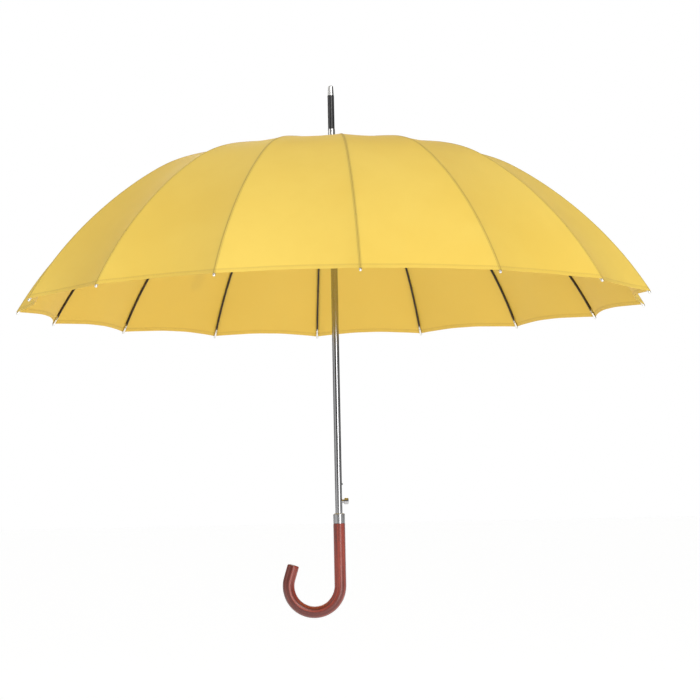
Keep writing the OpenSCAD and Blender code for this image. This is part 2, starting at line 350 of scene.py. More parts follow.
def feed(tree, shader, **inputs):
    """Sets or links the shader's sockets: words with _ stand for names with a space."""
    for key, value in inputs.items():
        socket = shader.inputs[key.replace("_", " ").title()]
        if isinstance(value, Socket):
            tree.links.new(value.output, socket)
        elif isinstance(value, tuple):
            socket.default_value = (*value, 1)
        else:
            socket.default_value = value


# %% [markdown]
# ## A white room with dark corners
# Polished steel shows nothing but its surroundings. In a room that is white all over it would look like
# paper, so a studio stands black cards beside it, and the edges of a tube turn dark. Here the world
# does that: it is white where the camera looks straight at it, what lights the umbrella is a little
# dimmer, most of all from the right, and what the metal reflects has soft dark cards standing round it
# as well.

# %% The world and the floor
WORLD_LIGHT = 0.72
CARD_DARK = 0.06
FLOOR_GLOW = 0.41
BEHIND_DARK = 0.6
DUSK_DARK = 0.62


def dark_card(direction, middle, inner, outer):
    """A standing card's mask, from the direction looked in: dark to inner, gone by outer."""
    return abs(direction - middle).ramp(inner, outer, 1.0, 0.0)


world = bpy.data.worlds.new("studio")
bpy.context.scene.world = world
world.use_nodes = True
room = world.node_tree
toward = node(room, "ShaderNodeTexCoord", output=0)
east, north, height = parts_of(room, toward)
card_west = dark_card(east, -0.30, 0.26, 0.44)
card_north = dark_card(north, 0.24, 0.08, 0.28)
behind = north.ramp(0.45, 0.75) * BEHIND_DARK
low = abs(height).ramp(0.35, 0.75, 1.0, 0.0)
cards = card_west.most(card_north).most(behind) * low
dusk = east.ramp(0.15, 0.85) * DUSK_DARK
seen = node(room, "ShaderNodeLightPath", output=0)
glossy = node(room, "ShaderNodeLightPath", output=3)
light_level = WORLD_LIGHT * (1.0 - dusk) * (1.0 - cards * glossy * (1.0 - CARD_DARK))
level = light_level + seen * (1.0 - light_level)
background = room.nodes["Background"]
background.inputs["Color"].default_value = (1, 1, 1, 1)
room.links.new(level.output, background.inputs["Strength"])

made, tree, shader = new_material("pale_floor")
mottle = noise(tree, place(tree), 3.0, 4.0)
feed(tree, shader, base_color=(0.93, 0.93, 0.925), roughness=0.85 + mottle * 0.1,
     emission_color=(1.0, 1.0, 1.0))
shader.inputs["Emission Strength"].default_value = FLOOR_GLOW
floor.data.materials.append(made)

# %% [markdown]
# ## The shape of the cloth
# A rib is nearly straight from the crown to the knee and bends hard from there to the tip. Both
# stretches are arcs of a circle, given by their ends and their bow. The cloth follows them, a little
# outside, and rounds the knee softly, because thread and cloth can't turn a corner. One function gives
# the cloth's line over a rib, as radius and height, for any distance from the crown.

# %% The line of the cloth over a rib
UPPER_BOW = 0.0039
LOWER_BOW = 0.0259
CLOTH_OFF = 0.0019
CROWN_LIFT = 0.0009
CROWN_SPREAD = 0.02
KNEE_LIFT = 0.0027
KNEE_SPREAD = 0.12
KNEE_EASE = 0.050
BARE_TIP = 0.0008
TIP_ROUND = Vector((-0.0016, 0.0008))


def rib_tip():
    """The far end of the first rib's middle line: its furthest point, less its rounded end."""
    found = max((radius_and_height(v.co) for v in frame["nodes"]["rib_outer_01"].data.vertices),
                key=lambda p: p[0])
    return found + TIP_ROUND


TIP = rib_tip()


class Arc:
    """A stretch of a rib between two points, bowed outwards."""

    def __init__(self, start, end, bow):
        chord = end - start
        self.radius = (chord.length**2 / 4 + bow**2) / (2 * bow)
        outward = Vector((-chord.y, chord.x)).normalized()
        self.centre = (start + end) / 2 - outward * (self.radius - bow)
        first, last = start - self.centre, end - self.centre
        self.first = math.atan2(first.y, first.x)
        self.length = self.radius * (self.first - math.atan2(last.y, last.x))

    def at(self, along):
        """The point this far along, and the direction straight out of it."""
        angle = self.first - along / self.radius
        out = Vector((math.cos(angle), math.sin(angle)))
        return self.centre + out * self.radius, out


upper = Arc(crown, knee, UPPER_BOW)
lower = Arc(knee, TIP, LOWER_BOW)
KINK = upper.at(upper.length)[1].angle(lower.at(0)[1])
CLOTH_LONG = upper.length + lower.length - BARE_TIP


def cloth_line(along):
    """Radius and height of the cloth over a rib, this far from the crown's pivot."""
    past_knee = along - upper.length
    point, out = upper.at(along) if past_knee < 0 else lower.at(past_knee)
    across_knee = lower.at(0)[1] if past_knee < 0 else upper.at(upper.length)[1]
    near = max(0.0, 1 - abs(past_knee) / KNEE_EASE)
    out = out.lerp(across_knee, near**2 / 2).normalized()
    rise = CLOTH_OFF + CROWN_LIFT * math.exp(-along / CROWN_SPREAD)
    rise += KNEE_LIFT * math.exp(-((past_knee / KNEE_SPREAD) ** 2))
    return point + out * (rise - KINK * KNEE_EASE / 4 * near**2)


print("cloth over a rib, m:", round(CLOTH_LONG, 4), "rib tip", TIP)

# %% [markdown]
# ## The cloth's finish
# Umbrella cloth is pongee, a fine plain weave of polyester, here a warm yellow. Its threads lie two or
# three to the millimetre, too fine to see from across a room but enough to give a soft, silky shine.
# The weave follows the panel: the UV map holds the distance from the rib and the distance from the
# crown, in metres, so threads run with the cloth in every pose. Two rows of stitches run along each
# rib, and one along the hem. The inside face of the cloth is painted a little darker, as painted shade
# under the canopy, and an attribute says which face is the inside. Daylight also passes through the
# cloth, which is why the inside of the canopy glows, so a Translucent shader is mixed in.

# %% Yellow pongee
CLOTH = (0.905, 0.700, 0.135)
CLOTH_DEEP = (0.865, 0.645, 0.108)
CLOTH_SHADE = (0.36, 0.20, 0.03)
# The darker yellow that the inside face is mixed towards: painted shade under the canopy.
CLOTH_INSIDE_SHADE = (0.76, 0.55, 0.092)
INSIDE_SHADE_SHARE = 0.8
THREAD = 0.00042
SEAM_HALF = 0.0024
STITCH = 0.0026
STITCH_SHARE = 0.62
THREAD_HALF = 0.00026
HEM_WIDE = 0.007
GLOW = 0.30


def stitches(run, beside):
    """Short stitches along one direction, on the line where beside is nought."""
    dash = (run * (1 / STITCH)).fraction().below(STITCH_SHARE)
    return abs(beside).below(THREAD_HALF) * dash


def yellow_pongee():
    made, tree, shader = new_material("yellow_pongee")
    uv = node(tree, "ShaderNodeUVMap", {"uv_map": "cloth"})
    across, along, _ = parts_of(tree, uv)
    to_hem = parts_of(tree, node(tree, "ShaderNodeUVMap", {"uv_map": "hem"}))[1]
    at = place(tree)
    aside = abs(across)
    weave = (across * (2 * math.pi / THREAD)).sine() * (along * (2 * math.pi / THREAD)).sine()
    drift = noise(tree, at, 5.0, 4.0)
    cloudy = noise(tree, at, 38.0, 3.0)
    slub = noise(tree, stretched(tree, uv, (2200.0, 60.0, 1.0)), 1.0, 2.0)
    colour = mixed(tree, drift.ramp(0.3, 0.7), CLOTH, CLOTH_DEEP)
    colour = mixed(tree, cloudy.ramp(0.45, 0.75) * 0.16, colour, CLOTH_DEEP)
    colour = mixed(tree, slub.ramp(0.55, 0.75) * 0.20, colour, CLOTH_DEEP)
    # The inside face of the cloth is mixed towards a darker yellow: painted shade under the canopy.
    inside = node(tree, "ShaderNodeAttribute", {"attribute_name": "inside"}, output=2)
    colour = mixed(tree, inside * INSIDE_SHADE_SHARE, colour, CLOTH_INSIDE_SHADE)
    seam = aside.ramp(SEAM_HALF * 0.75, SEAM_HALF, 1.0, 0.0)
    fold = aside.ramp(0.0, 0.0009, 1.0, 0.0)
    turned = to_hem.ramp(HEM_WIDE * 0.95, HEM_WIDE, 1.0, 0.0)
    edge = abs(to_hem - HEM_WIDE).ramp(0.0, 0.0007, 1.0, 0.0)
    sewn = stitches(along, aside - SEAM_HALF * 0.8).most(stitches(across, to_hem - HEM_WIDE * 0.8))
    colour = mixed(tree, seam * 0.16 + turned * 0.06, colour, CLOTH_SHADE)
    colour = mixed(tree, (fold * 0.55).most(edge * 0.22).most(sewn * 0.40), colour, CLOTH_SHADE)
    rough = 0.56 + drift * 0.10 - weave * 0.03
    height = weave * 0.000012 + cloudy * 0.00010 + slub * 0.00002 + drift * 0.0008
    height = height + seam * 0.00025 + turned * 0.0002 + sewn * 0.00012 - fold * 0.0002
    feed(tree, shader, base_color=colour, roughness=rough, normal=bump(tree, height, 1.0, 0.55))
    shader.inputs["Sheen Weight"].default_value = 0.05
    shader.inputs["Sheen Roughness"].default_value = 0.4
    glow = node(tree, "ShaderNodeBsdfTranslucent", None, {"Color": colour})
    solid = Socket(tree, shader.outputs[0])
    both = node(tree, "ShaderNodeMixShader", None, {0: GLOW, 1: solid, 2: glow})
    tree.links.new(both.output, tree.nodes["Material Output"].inputs["Surface"])
    return made


pongee = yellow_pongee()

# %% [markdown]
# ## One panel's half, cut where the umbrella folds
# When the umbrella closes, the ribs swing down and the cloth between them gathers into pleats. Each
# rib therefore carries the cloth on its own two sides, half a panel to the left and half to the right.
# The cloth is cut into bands, and each band is listed with the share of its width that it would keep
# when gathered: more near the crown than at the rim, where a panel two hands wide has to go between
# two ribs that nearly touch. The gathering itself is not done here: each piece only rides on its rib.
#
# A half panel starts as a flat grid. A grid is the honest start for cloth, because it becomes a plain
# weave of faces that bends evenly, and each of its points is then carried to its place by one
# function. The seam, the dip between ribs and the scalloped hem are all in that function.

# %% A half panel as a grid
DIP_TOP = 0.020
DIP_HEM = 0.076
SEAM_RISE = 0.0005
SCALLOP = 0.0140
SCALLOP_FROM = 0.70
RIPPLE = 0.0011
RIPPLE_REACH = 0.16
RIPPLE_WAVES = 9.0
ROW = 0.0066
COLUMNS = 14
HALF = STEP / 2
NEAR_COLUMNS = (0.0, 0.0010, 0.0020, 0.0028)


def column_place(share, half_width):
    """How far from the rib a column is. The first few are close to it, for the seam."""
    near = [min(x, half_width * 0.05 * i) for i, x in enumerate(NEAR_COLUMNS)]
    count = share * COLUMNS
    if count < len(near) - 0.5:
        return near[round(count)]
    rest = (count - len(near) + 1) / (COLUMNS - len(near) + 1)
    return near[-1] + (half_width - near[-1]) * rest


def dip_share(along):
    """How deep the cloth hangs between two ribs, as a share of the distance between them."""
    down = max(0.0, along - upper.length * 0.9) / (CLOTH_LONG - upper.length * 0.9)
    return DIP_TOP + (DIP_HEM - DIP_TOP) * down**1.3


def ripple(along, share):
    """Faint tension folds that run from the corners of the hem into the panel."""
    near_hem = max(0.0, 1 - (CLOTH_LONG - along) / RIPPLE_REACH)
    return RIPPLE * near_hem**2 * math.sin(share * RIPPLE_WAVES) * share * (1 - share)


def cloth_point(along, share, side):
    """A point of the cloth over a rib that lies along +X, its place on the cut, and how far from
    the hem it is. The side is 1 or -1."""
    half_width = cloth_line(along).x * math.sin(HALF)
    across = column_place(share, half_width)
    belly = 4 * (across / half_width / 2) * (1 - across / half_width / 2)
    low_part = max(0.0, (along / CLOTH_LONG - SCALLOP_FROM) / (1 - SCALLOP_FROM))
    drawn = along - SCALLOP * belly * low_part
    line = cloth_line(drawn)
    slope = cloth_line(drawn + 0.001) - line
    inward = Vector((slope.y, -slope.x)).normalized()
    width = line.x * math.sin(HALF)
    across = across * width / half_width
    sag = inward * dip_share(along) * 2 * width * belly
    seam = SEAM_RISE * max(0.0, 1 - across / NEAR_COLUMNS[-1])
    height = line.y + sag.y + seam + ripple(along, share)
    radial = line.x + sag.x * math.cos(HALF) - across * math.sin(HALF)
    aside = across * math.cos(HALF) + sag.x * math.sin(HALF)
    hem = CLOTH_LONG - SCALLOP * belly - drawn
    return Vector((radial, side * aside, height)), (side * across, drawn), hem


def band_rows(start, end):
    """Where a band's rows are: even steps, and the hem's fold on a row of its own."""
    hem = end >= CLOTH_LONG
    last = end - HEM_WIDE if hem else end
    count = max(4, round((last - start) / ROW))
    rows = [start + (last - start) * i / count for i in range(count + 1)]
    return rows + [end] if hem else rows


def plain_grid(name, columns, rows):
    """A flat grid one metre wide, with no UV map."""
    fresh()
    bpy.ops.mesh.primitive_grid_add(x_subdivisions=columns, y_subdivisions=rows, size=1)
    grid = named(bpy.context.object, name)
    while grid.data.uv_layers:
        grid.data.uv_layers.remove(grid.data.uv_layers[0])
    return grid


def unrolled(cloth, cuts):
    """Writes each point's place on the cut, and how far it is from the hem, as two UV maps."""
    for k, word in enumerate(("cloth", "hem")):
        layer = cloth.data.uv_layers.new(name=word).data
        for loop in cloth.data.loops:
            layer[loop.index].uv = cuts[loop.vertex_index][k]
    return facing_up(cloth)


def half_panel(name, start, end, side):
    """The cloth on one side of a rib, from start to end along it."""
    rows = band_rows(start, end)
    panel = plain_grid(name, COLUMNS, len(rows) - 1)
    cuts = []
    for v in panel.data.vertices:
        row = rows[round((v.co.y + 0.5) * (len(rows) - 1))]
        v.co, cut, to_hem = cloth_point(row, v.co.x + 0.5, side)
        cuts.append((cut, (0.0, to_hem)))
    return unrolled(panel, cuts)


def facing_up(panel):
    """Turns the faces so that they look outwards, away from the umbrella's inside."""
    if sum(f.normal.z * f.area for f in panel.data.polygons) < 0:
        only(panel)
        bpy.ops.object.mode_set(mode="EDIT")
        bpy.ops.mesh.select_all(action="SELECT")
        bpy.ops.mesh.flip_normals()
        bpy.ops.object.mode_set(mode="OBJECT")
    return panel


# %% [markdown]
# ## Bands of cloth
# The upper bands hold both sides of a rib in one piece. Below the knee the panel is wide and hangs
# well inside its ribs, so each side is a piece of its own, and the line from the middle of the panel
# to the rib is worked out for it. Gathered along that line, the cloth would come out to the ribs as it
# closes, where a real one is smoothed and wrapped, and stay off the shaft; nothing here gathers it. The
# hem is folded under once and sewn, so its last strip is twice as thick.

# %% Cutting the bands
START = 0.0005
UPPER_BANDS = ((START, 0.045, 0.42), (0.045, 0.13, 0.24), (0.13, upper.length, 0.105))
LOWER_BANDS = ((upper.length, 0.385, 0.112), (0.385, 0.515, 0.118), (0.515, CLOTH_LONG, 0.085))
CUT_SPARE = 1.02
FILLED = 0.999
CLOTH_THICK = 0.00014

cloth_pieces = []


def flat_cut(pieces, start, end):
    """The rectangle that a band is cut from, with a little to spare, and the area of the cut."""
    area = sum(f.area for piece in pieces for f in piece.data.polygons)
    width = len(pieces) * cloth_line(end).x * math.sin(HALF) * CUT_SPARE
    length = (end - start) * CUT_SPARE
    return (width, length), min(area, FILLED * width * length)


def thickened(piece):
    """Gives the cloth its thickness, inwards, and marks the inner of each pair of points."""
    hem = piece.vertex_groups.new(name="hem")
    uv = piece.data.uv_layers["hem"].data
    rows = [loop.vertex_index for loop in piece.data.loops if uv[loop.index].uv[1] < HEM_WIDE / 2]
    hem.add(list(set(rows)), 1.0, "REPLACE")
    outer = len(piece.data.vertices)
    modified(piece, "SOLIDIFY", thickness=2 * CLOTH_THICK, offset=-1, use_even_offset=True,
             vertex_group="hem", thickness_vertex_group=0.5)
    piece.vertex_groups.clear()
    points = piece.data.vertices
    for v, slot in zip(points, piece.data.attributes.new("inside", "FLOAT", "POINT").data):
        partner = points[(v.index + outer) % len(points)]
        slot.value = float(v.co.z < partner.co.z)
    return smooth(piece, 40)


def gathered(piece):
    """Gives a piece a mesh of its own. It does not gather the piece towards its rib."""
    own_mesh(piece)


def lay(piece, word, body):
    """Copies a piece of cloth round all the ribs, and fastens each copy to its rib."""
    for i in range(1, RIBS + 1):
        cloth = turned_copy(piece, numbered(word, i), FIRST + (i - 1) * STEP)
        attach(cloth, numbered(body, i))
        gathered(cloth)
        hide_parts("canopy")
        cloth_pieces.append(cloth)
    bpy.data.objects.remove(piece)


def joined(pieces, name, gap=0.00002):
    fresh()
    for piece in pieces:
        piece.select_set(True)
    bpy.context.view_layer.objects.active = pieces[0]
    bpy.ops.object.join()
    whole = only(named(pieces[0], name))
    bpy.ops.object.mode_set(mode="EDIT")
    bpy.ops.mesh.select_all(action="SELECT")
    bpy.ops.mesh.remove_doubles(threshold=gap)
    bpy.ops.object.mode_set(mode="OBJECT")
    return whole


def painted(obj, finish):
    obj.data.materials.clear()
    obj.data.materials.append(finish)
    return obj


for n, (start, end, keep) in enumerate(UPPER_BANDS, 1):
    halves = [half_panel(f"half_{s}", start, end, s) for s in (1, -1)]
    cut = flat_cut(halves, start, end)
    band = painted(thickened(joined(halves, f"band_{n}")), pongee)
    lay(band, f"cloth_upper_{n}", "rib_inner")


def towards_rib(start, end, side):
    """The line that a lower band would gather along, and the point on the rib that it would gather to."""
    middle = (start + end) / 2
    at_rib = cloth_point(middle, 0.0, side)[0]
    down_rib = (cloth_point(middle + 0.01, 0.0, side)[0] - at_rib).normalized()
    over = cloth_point(middle, 1.0, side)[0] - at_rib
    return over - down_rib * over.dot(down_rib), at_rib


for n, (start, end, keep) in enumerate(LOWER_BANDS, 1):
    for side, word in ((1, "left"), (-1, "right")):
        half = half_panel(f"band_{word}", start, end, side)
        cut = flat_cut([half], start, end)
        painted(thickened(half), pongee)
        gather = towards_rib(start, end, side)
        lay(half, f"cloth_lower_{n}_{word}", "rib_outer")

print("cloth pieces", len(cloth_pieces))

# %% [markdown]
# ## The finish of the metal
# The shaft is steel tube, drawn and chromed. A drawn tube keeps faint lines along its length, and the
# plating softens them, so the roughness varies in long streaks. The ribs are rolled from thin steel
# and dipped in dark lacquer that rubs to brown in patches. Their ends carry a small bright cap
# that the cloth's corner is sewn to. It is part of the rib, so the rib's own material turns to nickel
# beyond a certain distance from the shaft.

# %% Metal finishes


def plated(name, bright, dull, rough, streak=(90.0, 90.0, 3.0), spots=0.25):
    """Plating on steel: long faint streaks, and a few dull specks."""
    made, tree, shader = new_material(name)
    at = place(tree)
    lines = noise(tree, stretched(tree, at, streak), 12.0, 4.0)
    specks = noise(tree, at, 900.0, 2.0).ramp(0.66, 0.74)
    smear = noise(tree, at, 24.0, 3.0)
    colour = mixed(tree, (lines.ramp(0.35, 0.7) * 0.6 + specks * spots).least(1.0), bright, dull)
    feed(tree, shader, base_color=colour, metallic=1.0,
         roughness=rough + lines * 0.06 + smear * 0.07 + specks * 0.12,
         normal=bump(tree, lines * 0.00002 + specks * 0.00001, 1.0, 0.5))
    return made


def lacquered(name, colour, worn, rough, coat=0.0, grain=350.0):
    """A dark coat, of enamel, lacquer or thread: slightly rippled, and paler in patches."""
    made, tree, shader = new_material(name)
    at = place(tree)
    fine = noise(tree, at, grain, 3.0)
    wide = noise(tree, at, 30.0, 4.0)
    tone = mixed(tree, wide.ramp(0.35, 0.75) * 0.7 + fine.ramp(0.6, 0.8) * 0.3, colour, worn)
    feed(tree, shader, base_color=tone, roughness=rough + fine * 0.10 + wide * 0.08,
         normal=bump(tree, fine * 0.00002 + wide * 0.00004, 1.0, 0.5))
    shader.inputs["Coat Weight"].default_value = coat
    shader.inputs["Coat Roughness"].default_value = 0.12
    return made


def rib_lacquer(cap_from):
    """Dark lacquered steel with a nickel cap on everything further from the shaft than cap_from."""
    made, tree, shader = new_material("rib_lacquer")
    at = place(tree)
    x, y, _ = parts_of(tree, at)
    cap = (x * x + y * y).power(0.5).above(cap_from)
    fine = noise(tree, at, 420.0, 3.0)
    wide = noise(tree, at, 26.0, 4.0)
    rub = wide.ramp(0.45, 0.75) * 0.6 + fine.ramp(0.62, 0.78) * 0.4
    lacquer = mixed(tree, rub, (0.030, 0.020, 0.012), (0.085, 0.052, 0.026))
    nickel = mixed(tree, fine, (0.80, 0.79, 0.76), (0.62, 0.61, 0.58))
    feed(tree, shader, base_color=mixed(tree, cap, lacquer, nickel), metallic=cap * 0.98 + 0.02,
         roughness=0.40 + fine * 0.14 - cap * 0.20, normal=bump(tree, fine * 0.00002, 1.0, 0.5))
    return made


chrome = plated("chrome_plate", (0.46, 0.46, 0.465), (0.36, 0.36, 0.37), 0.06)
nickel = plated("nickel_plate", (0.74, 0.73, 0.71), (0.55, 0.54, 0.52), 0.16)
wire = plated("drawn_wire", (0.60, 0.60, 0.60), (0.42, 0.42, 0.42), 0.30, (40.0, 40.0, 40.0), 0.5)
spring = plated("spring_wire", (0.50, 0.51, 0.53), (0.34, 0.33, 0.33), 0.28, (60.0, 60.0, 60.0), 0.5)
enamel = lacquered("black_enamel", (0.012, 0.012, 0.014), (0.030, 0.030, 0.033), 0.26, 0.35)
nylon = lacquered("black_nylon", (0.016, 0.016, 0.017), (0.034, 0.034, 0.036), 0.46, 0.0, 700.0)
BARE_CAP = 0.5085
rib_finish = rib_lacquer(BARE_CAP)
stretcher_finish = lacquered("stretcher_lacquer", (0.030, 0.022, 0.014), (0.075, 0.050, 0.028), 0.40)

finishes = {"shaft_tube": chrome, "handle_collar": chrome, "crown_hub": nylon, "runner": nylon,
            "crown_wire": wire, "crown_cap": nickel, "ferrule_tube": enamel, "ferrule_tip": nickel,
            "push_button": chrome}
for i in range(1, RIBS + 1):
    finishes[numbered("rib_inner", i)] = rib_finish
    finishes[numbered("rib_outer", i)] = rib_finish
    finishes[numbered("stretcher", i)] = stretcher_finish
for name, finish in finishes.items():
    painted(frame["nodes"][name], finish)
print("finished nodes", len(finishes))

# %% [markdown]
# ## The crook
# The handle is one straight rod of wood, steamed and bent round a former, then stained a deep red-brown
# and lacquered. It is made here as it is in the workshop: a round section is drawn out straight, spun
# round the bend, and drawn out again to its rounded end. The grain was straight before the rod was bent, so
# it has to follow the bend too. Each point therefore remembers where it was in the straight rod, in an
# attribute, and the grain is drawn in those coordinates.

# %% Bending the rod
handle_low, handle_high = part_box("crook_handle")
ROD = (handle_high[1] - handle_low[1]) / 2
ROD_TOP = handle_high[2]
STRAIGHT = 0.101
CROOK = 0.0422
CROOK_TURN = math.radians(197)
CROOK_END = 0.0207
END_ROUND = 0.0026
# Each step of the rounded end: how far it goes, as a share of END_ROUND, and how much it shrinks.
END_CURVE = ((0.5, 0.965), (0.35, 0.93), (0.15, 0.90))
END_RING = 0.0022
SIDES = 32
STRAIGHT_STEPS = 8
BEND_STEPS = 56
BEND_FROM = ROD_TOP - STRAIGHT
COLLAR_EASE = 0.0008


def ring_centre(obj):
    """The middle of the selected ring, read in edit mode."""
    ring = [v.co for v in bmesh.from_edit_mesh(obj.data).verts if v.select]
    return sum(ring, Vector()) / len(ring)


fresh()
bpy.ops.mesh.primitive_circle_add(vertices=SIDES, radius=ROD - COLLAR_EASE, fill_type="NGON",
                                  location=(0, 0, ROD_TOP))
crook = named(bpy.context.object, "crook")
settled(crook)
bpy.ops.object.mode_set(mode="EDIT")
bpy.ops.mesh.select_all(action="SELECT")
bpy.ops.mesh.inset(thickness=COLLAR_EASE * 1.5)
bpy.ops.mesh.poke()
pick(crook, edges=lambda e: e.is_boundary)
bpy.ops.mesh.extrude_region_move(TRANSFORM_OT_translate={"value": (0, 0, -COLLAR_EASE)})
wider = ROD / (ROD - COLLAR_EASE)
bpy.ops.transform.resize(value=(wider, wider, 1))
for _ in range(STRAIGHT_STEPS):
    step = (COLLAR_EASE - STRAIGHT) / STRAIGHT_STEPS
    bpy.ops.mesh.extrude_region_move(TRANSFORM_OT_translate={"value": (0, 0, step)})
bpy.ops.mesh.spin(steps=BEND_STEPS, angle=CROOK_TURN, center=(-CROOK, 0, BEND_FROM),
                  axis=(0, -1, 0))
bend_end = ring_centre(crook)
onward = Vector((-math.sin(CROOK_TURN), 0, -math.cos(CROOK_TURN)))
for _ in range(2):
    bpy.ops.mesh.extrude_region_move(TRANSFORM_OT_translate={"value": onward * CROOK_END / 2})
for lift, shrink in END_CURVE:
    bpy.ops.mesh.extrude_region_move(TRANSFORM_OT_translate={"value": onward * END_ROUND * lift})
    bpy.ops.transform.resize(value=(shrink,) * 3, center_override=tuple(ring_centre(crook)))
bpy.ops.mesh.edge_face_add()
bpy.ops.mesh.inset(thickness=END_RING)
bpy.ops.mesh.inset(thickness=END_RING)
bpy.ops.mesh.poke()
bpy.ops.mesh.select_all(action="SELECT")
bpy.ops.mesh.normals_make_consistent(inside=False)
bpy.ops.object.mode_set(mode="OBJECT")
print("bend ends at", tuple(round(x, 4) for x in bend_end), "faces", len(crook.data.polygons))

# %% The straight rod's coordinates
BEND_LONG = CROOK * CROOK_TURN


def in_the_rod(co):
    """Where a point of the bent handle was when the rod was straight."""
    if co.z > BEND_FROM and co.x > -CROOK / 2:
        return Vector((co.x, co.y, BEND_FROM - co.z))
    spoke = co - Vector((-CROOK, 0, BEND_FROM))
    angle = math.atan2(-spoke.z, spoke.x) % (2 * math.pi)
    if angle > CROOK_TURN:
        beyond = (co - bend_end).dot(onward)
        outward = Vector((math.cos(CROOK_TURN), 0, -math.sin(CROOK_TURN)))
        return Vector(((co - bend_end).dot(outward), co.y, BEND_LONG + beyond))
    return Vector((math.hypot(spoke.x, spoke.z) - CROOK, co.y, angle * CROOK))


straight_rod = crook.data.attributes.new("straight_rod", "FLOAT_VECTOR", "POINT").data
for v, slot in zip(crook.data.vertices, straight_rod):
    slot.vector = in_the_rod(v.co)

# %% [markdown]
# Stained wood shows its grain in three sizes: wide bands of light and dark where the rod crosses the
# growth rings, fine lines along it, and short dark pores. The lacquer over it is a clear coat, so it is
# the coat that shines, and the wood below stays soft. In patches the coat is a little thinner.

# %% Lacquered mahogany
RED_WOOD = (0.255, 0.034, 0.019)
DARK_WOOD = (0.085, 0.011, 0.007)
LIGHT_WOOD = (0.390, 0.078, 0.042)


def lacquered_wood():
    made, tree, shader = new_material("lacquered_mahogany")
    rod = node(tree, "ShaderNodeAttribute", {"attribute_name": "straight_rod"}, output=1)
    bands = noise(tree, stretched(tree, rod, (130.0, 130.0, 5.0)), 1.0, 3.0, 0.5, 0.6)
    lines = noise(tree, stretched(tree, rod, (900.0, 900.0, 14.0)), 1.0, 4.0, 0.6)
    pores = noise(tree, stretched(tree, rod, (2600.0, 2600.0, 150.0)), 1.0, 1.0).ramp(0.64, 0.70)
    touch = noise(tree, place(tree), 45.0, 3.0)
    colour = mixed(tree, bands.ramp(0.35, 0.65), RED_WOOD, DARK_WOOD)
    colour = mixed(tree, lines.ramp(0.50, 0.72) * 0.55, colour, LIGHT_WOOD)
    colour = mixed(tree, pores * 0.65, colour, DARK_WOOD)
    feed(tree, shader, base_color=colour, roughness=0.34 + lines * 0.14 + touch * 0.10,
         normal=bump(tree, lines * 0.00003 - pores * 0.00005 + touch * 0.00006, 1.0, 0.35),
         coat_weight=0.60 - touch.ramp(0.5, 0.75) * 0.20)
    shader.inputs["Specular IOR Level"].default_value = 0.3
    shader.inputs["Coat Roughness"].default_value = 0.24
    return made


painted(smooth(crook, 30), lacquered_wood())
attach(crook, "shaft")
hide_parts("crook_handle")

# %% [markdown]
# ## The spring in the shaft
# A long thin spring inside the shaft throws the umbrella open. It shows through the slot in the back of
# the shaft. A spring is a screw: one small ring of wire, turned round the axis and raised by the pitch
# at every turn. It is pressed together when the runner comes down; here the coil keeps its length.

# %% The opening spring
spring_low, spring_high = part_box("opening_spring")
WIRE = 0.00045
WIRE_SIDES = 8
COILS = 60
COIL_STEPS = 16

fresh()
coil_r = spring_high[0] - WIRE
bpy.ops.mesh.primitive_circle_add(vertices=WIRE_SIDES, radius=WIRE, rotation=(math.pi / 2, 0, 0),
                                  location=(coil_r, 0, spring_low[2] + WIRE))
coil = settled(named(bpy.context.object, "spring_coil"))
pitch = (spring_high[2] - spring_low[2] - 2 * WIRE) / COILS
modified(coil, "SCREW", angle=2 * math.pi, screw_offset=pitch, iterations=COILS,
         steps=COIL_STEPS, render_steps=COIL_STEPS)
only(coil)
bpy.ops.object.mode_set(mode="EDIT")
bpy.ops.mesh.select_all(action="SELECT")
bpy.ops.mesh.fill_holes(sides=0)
bpy.ops.mesh.select_all(action="SELECT")
bpy.ops.mesh.normals_make_consistent(inside=False)
bpy.ops.object.mode_set(mode="OBJECT")
painted(smooth(coil, 60), spring)
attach(coil, "shaft")
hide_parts("opening_spring")
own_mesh(coil)
print("spring faces", len(coil.data.polygons), "pitch", round(pitch, 5))

# %% [markdown]
# ## The small trim
# The stretchers' inner eyes are threaded on a ring of wire that runs round inside the runner. A real one
# has its two ends twisted together where they meet; here the ring is closed. Along each outer rib
# the cloth's seam is tied to the rib with a few turns of dark thread.

# %% The runner's wire
RUNNER_PIVOT_R = 0.011
RUNNER_PIVOT_Z = 0.536
RING_WIRE = 0.0006

fresh()
bpy.ops.mesh.primitive_torus_add(major_radius=RUNNER_PIVOT_R, minor_radius=RING_WIRE,
                                 major_segments=96, minor_segments=10,
                                 location=(0, 0, RUNNER_PIVOT_Z))
ring = settled(named(bpy.context.object, "runner_wire"))
painted(smooth(ring, 60), wire)
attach(ring, "runner")

# %% The thread ties
TIES = (0.33, 0.395, 0.455, 0.505)
TURNS = 3
TURN_R = 0.0018
TURN_PITCH = 0.00058
TURN_LEAN = 0.10
THREAD_R = 0.00028
thread = lacquered("tie_thread", (0.10, 0.060, 0.020), (0.21, 0.125, 0.04), 0.75, 0.0, 1800.0)


def thread_tie(along):
    """A few turns of thread round a rib that lies along +X."""
    point, out = lower.at(along - upper.length)
    turns = []
    for k in range(TURNS):
        fresh()
        bpy.ops.mesh.primitive_torus_add(major_radius=TURN_R, minor_radius=THREAD_R,
                                         major_segments=20, minor_segments=6)
        turn = bpy.context.object
        tangent = Vector((out.y, 0, -out.x))
        lean = tangent + Vector((0, TURN_LEAN * (k - 1), 0))
        facing = lean.normalized().to_track_quat("Z", "Y").to_matrix().to_4x4()
        at = Vector((point.x, 0, point.y)) + tangent * (k - 1) * TURN_PITCH
        turn.matrix_world = Matrix.Translation(at) @ facing
        settled(turn)
        turns.append(turn)
    return turns


turns = [turn for along in TIES for turn in thread_tie(along)]
ties = smooth(painted(joined(turns, "ties", 0.0), thread), 60)
for i in range(1, RIBS + 1):
    tie = turned_copy(ties, numbered("thread_ties", i), FIRST + (i - 1) * STEP)
    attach(tie, numbered("rib_outer", i))
bpy.data.objects.remove(ties)

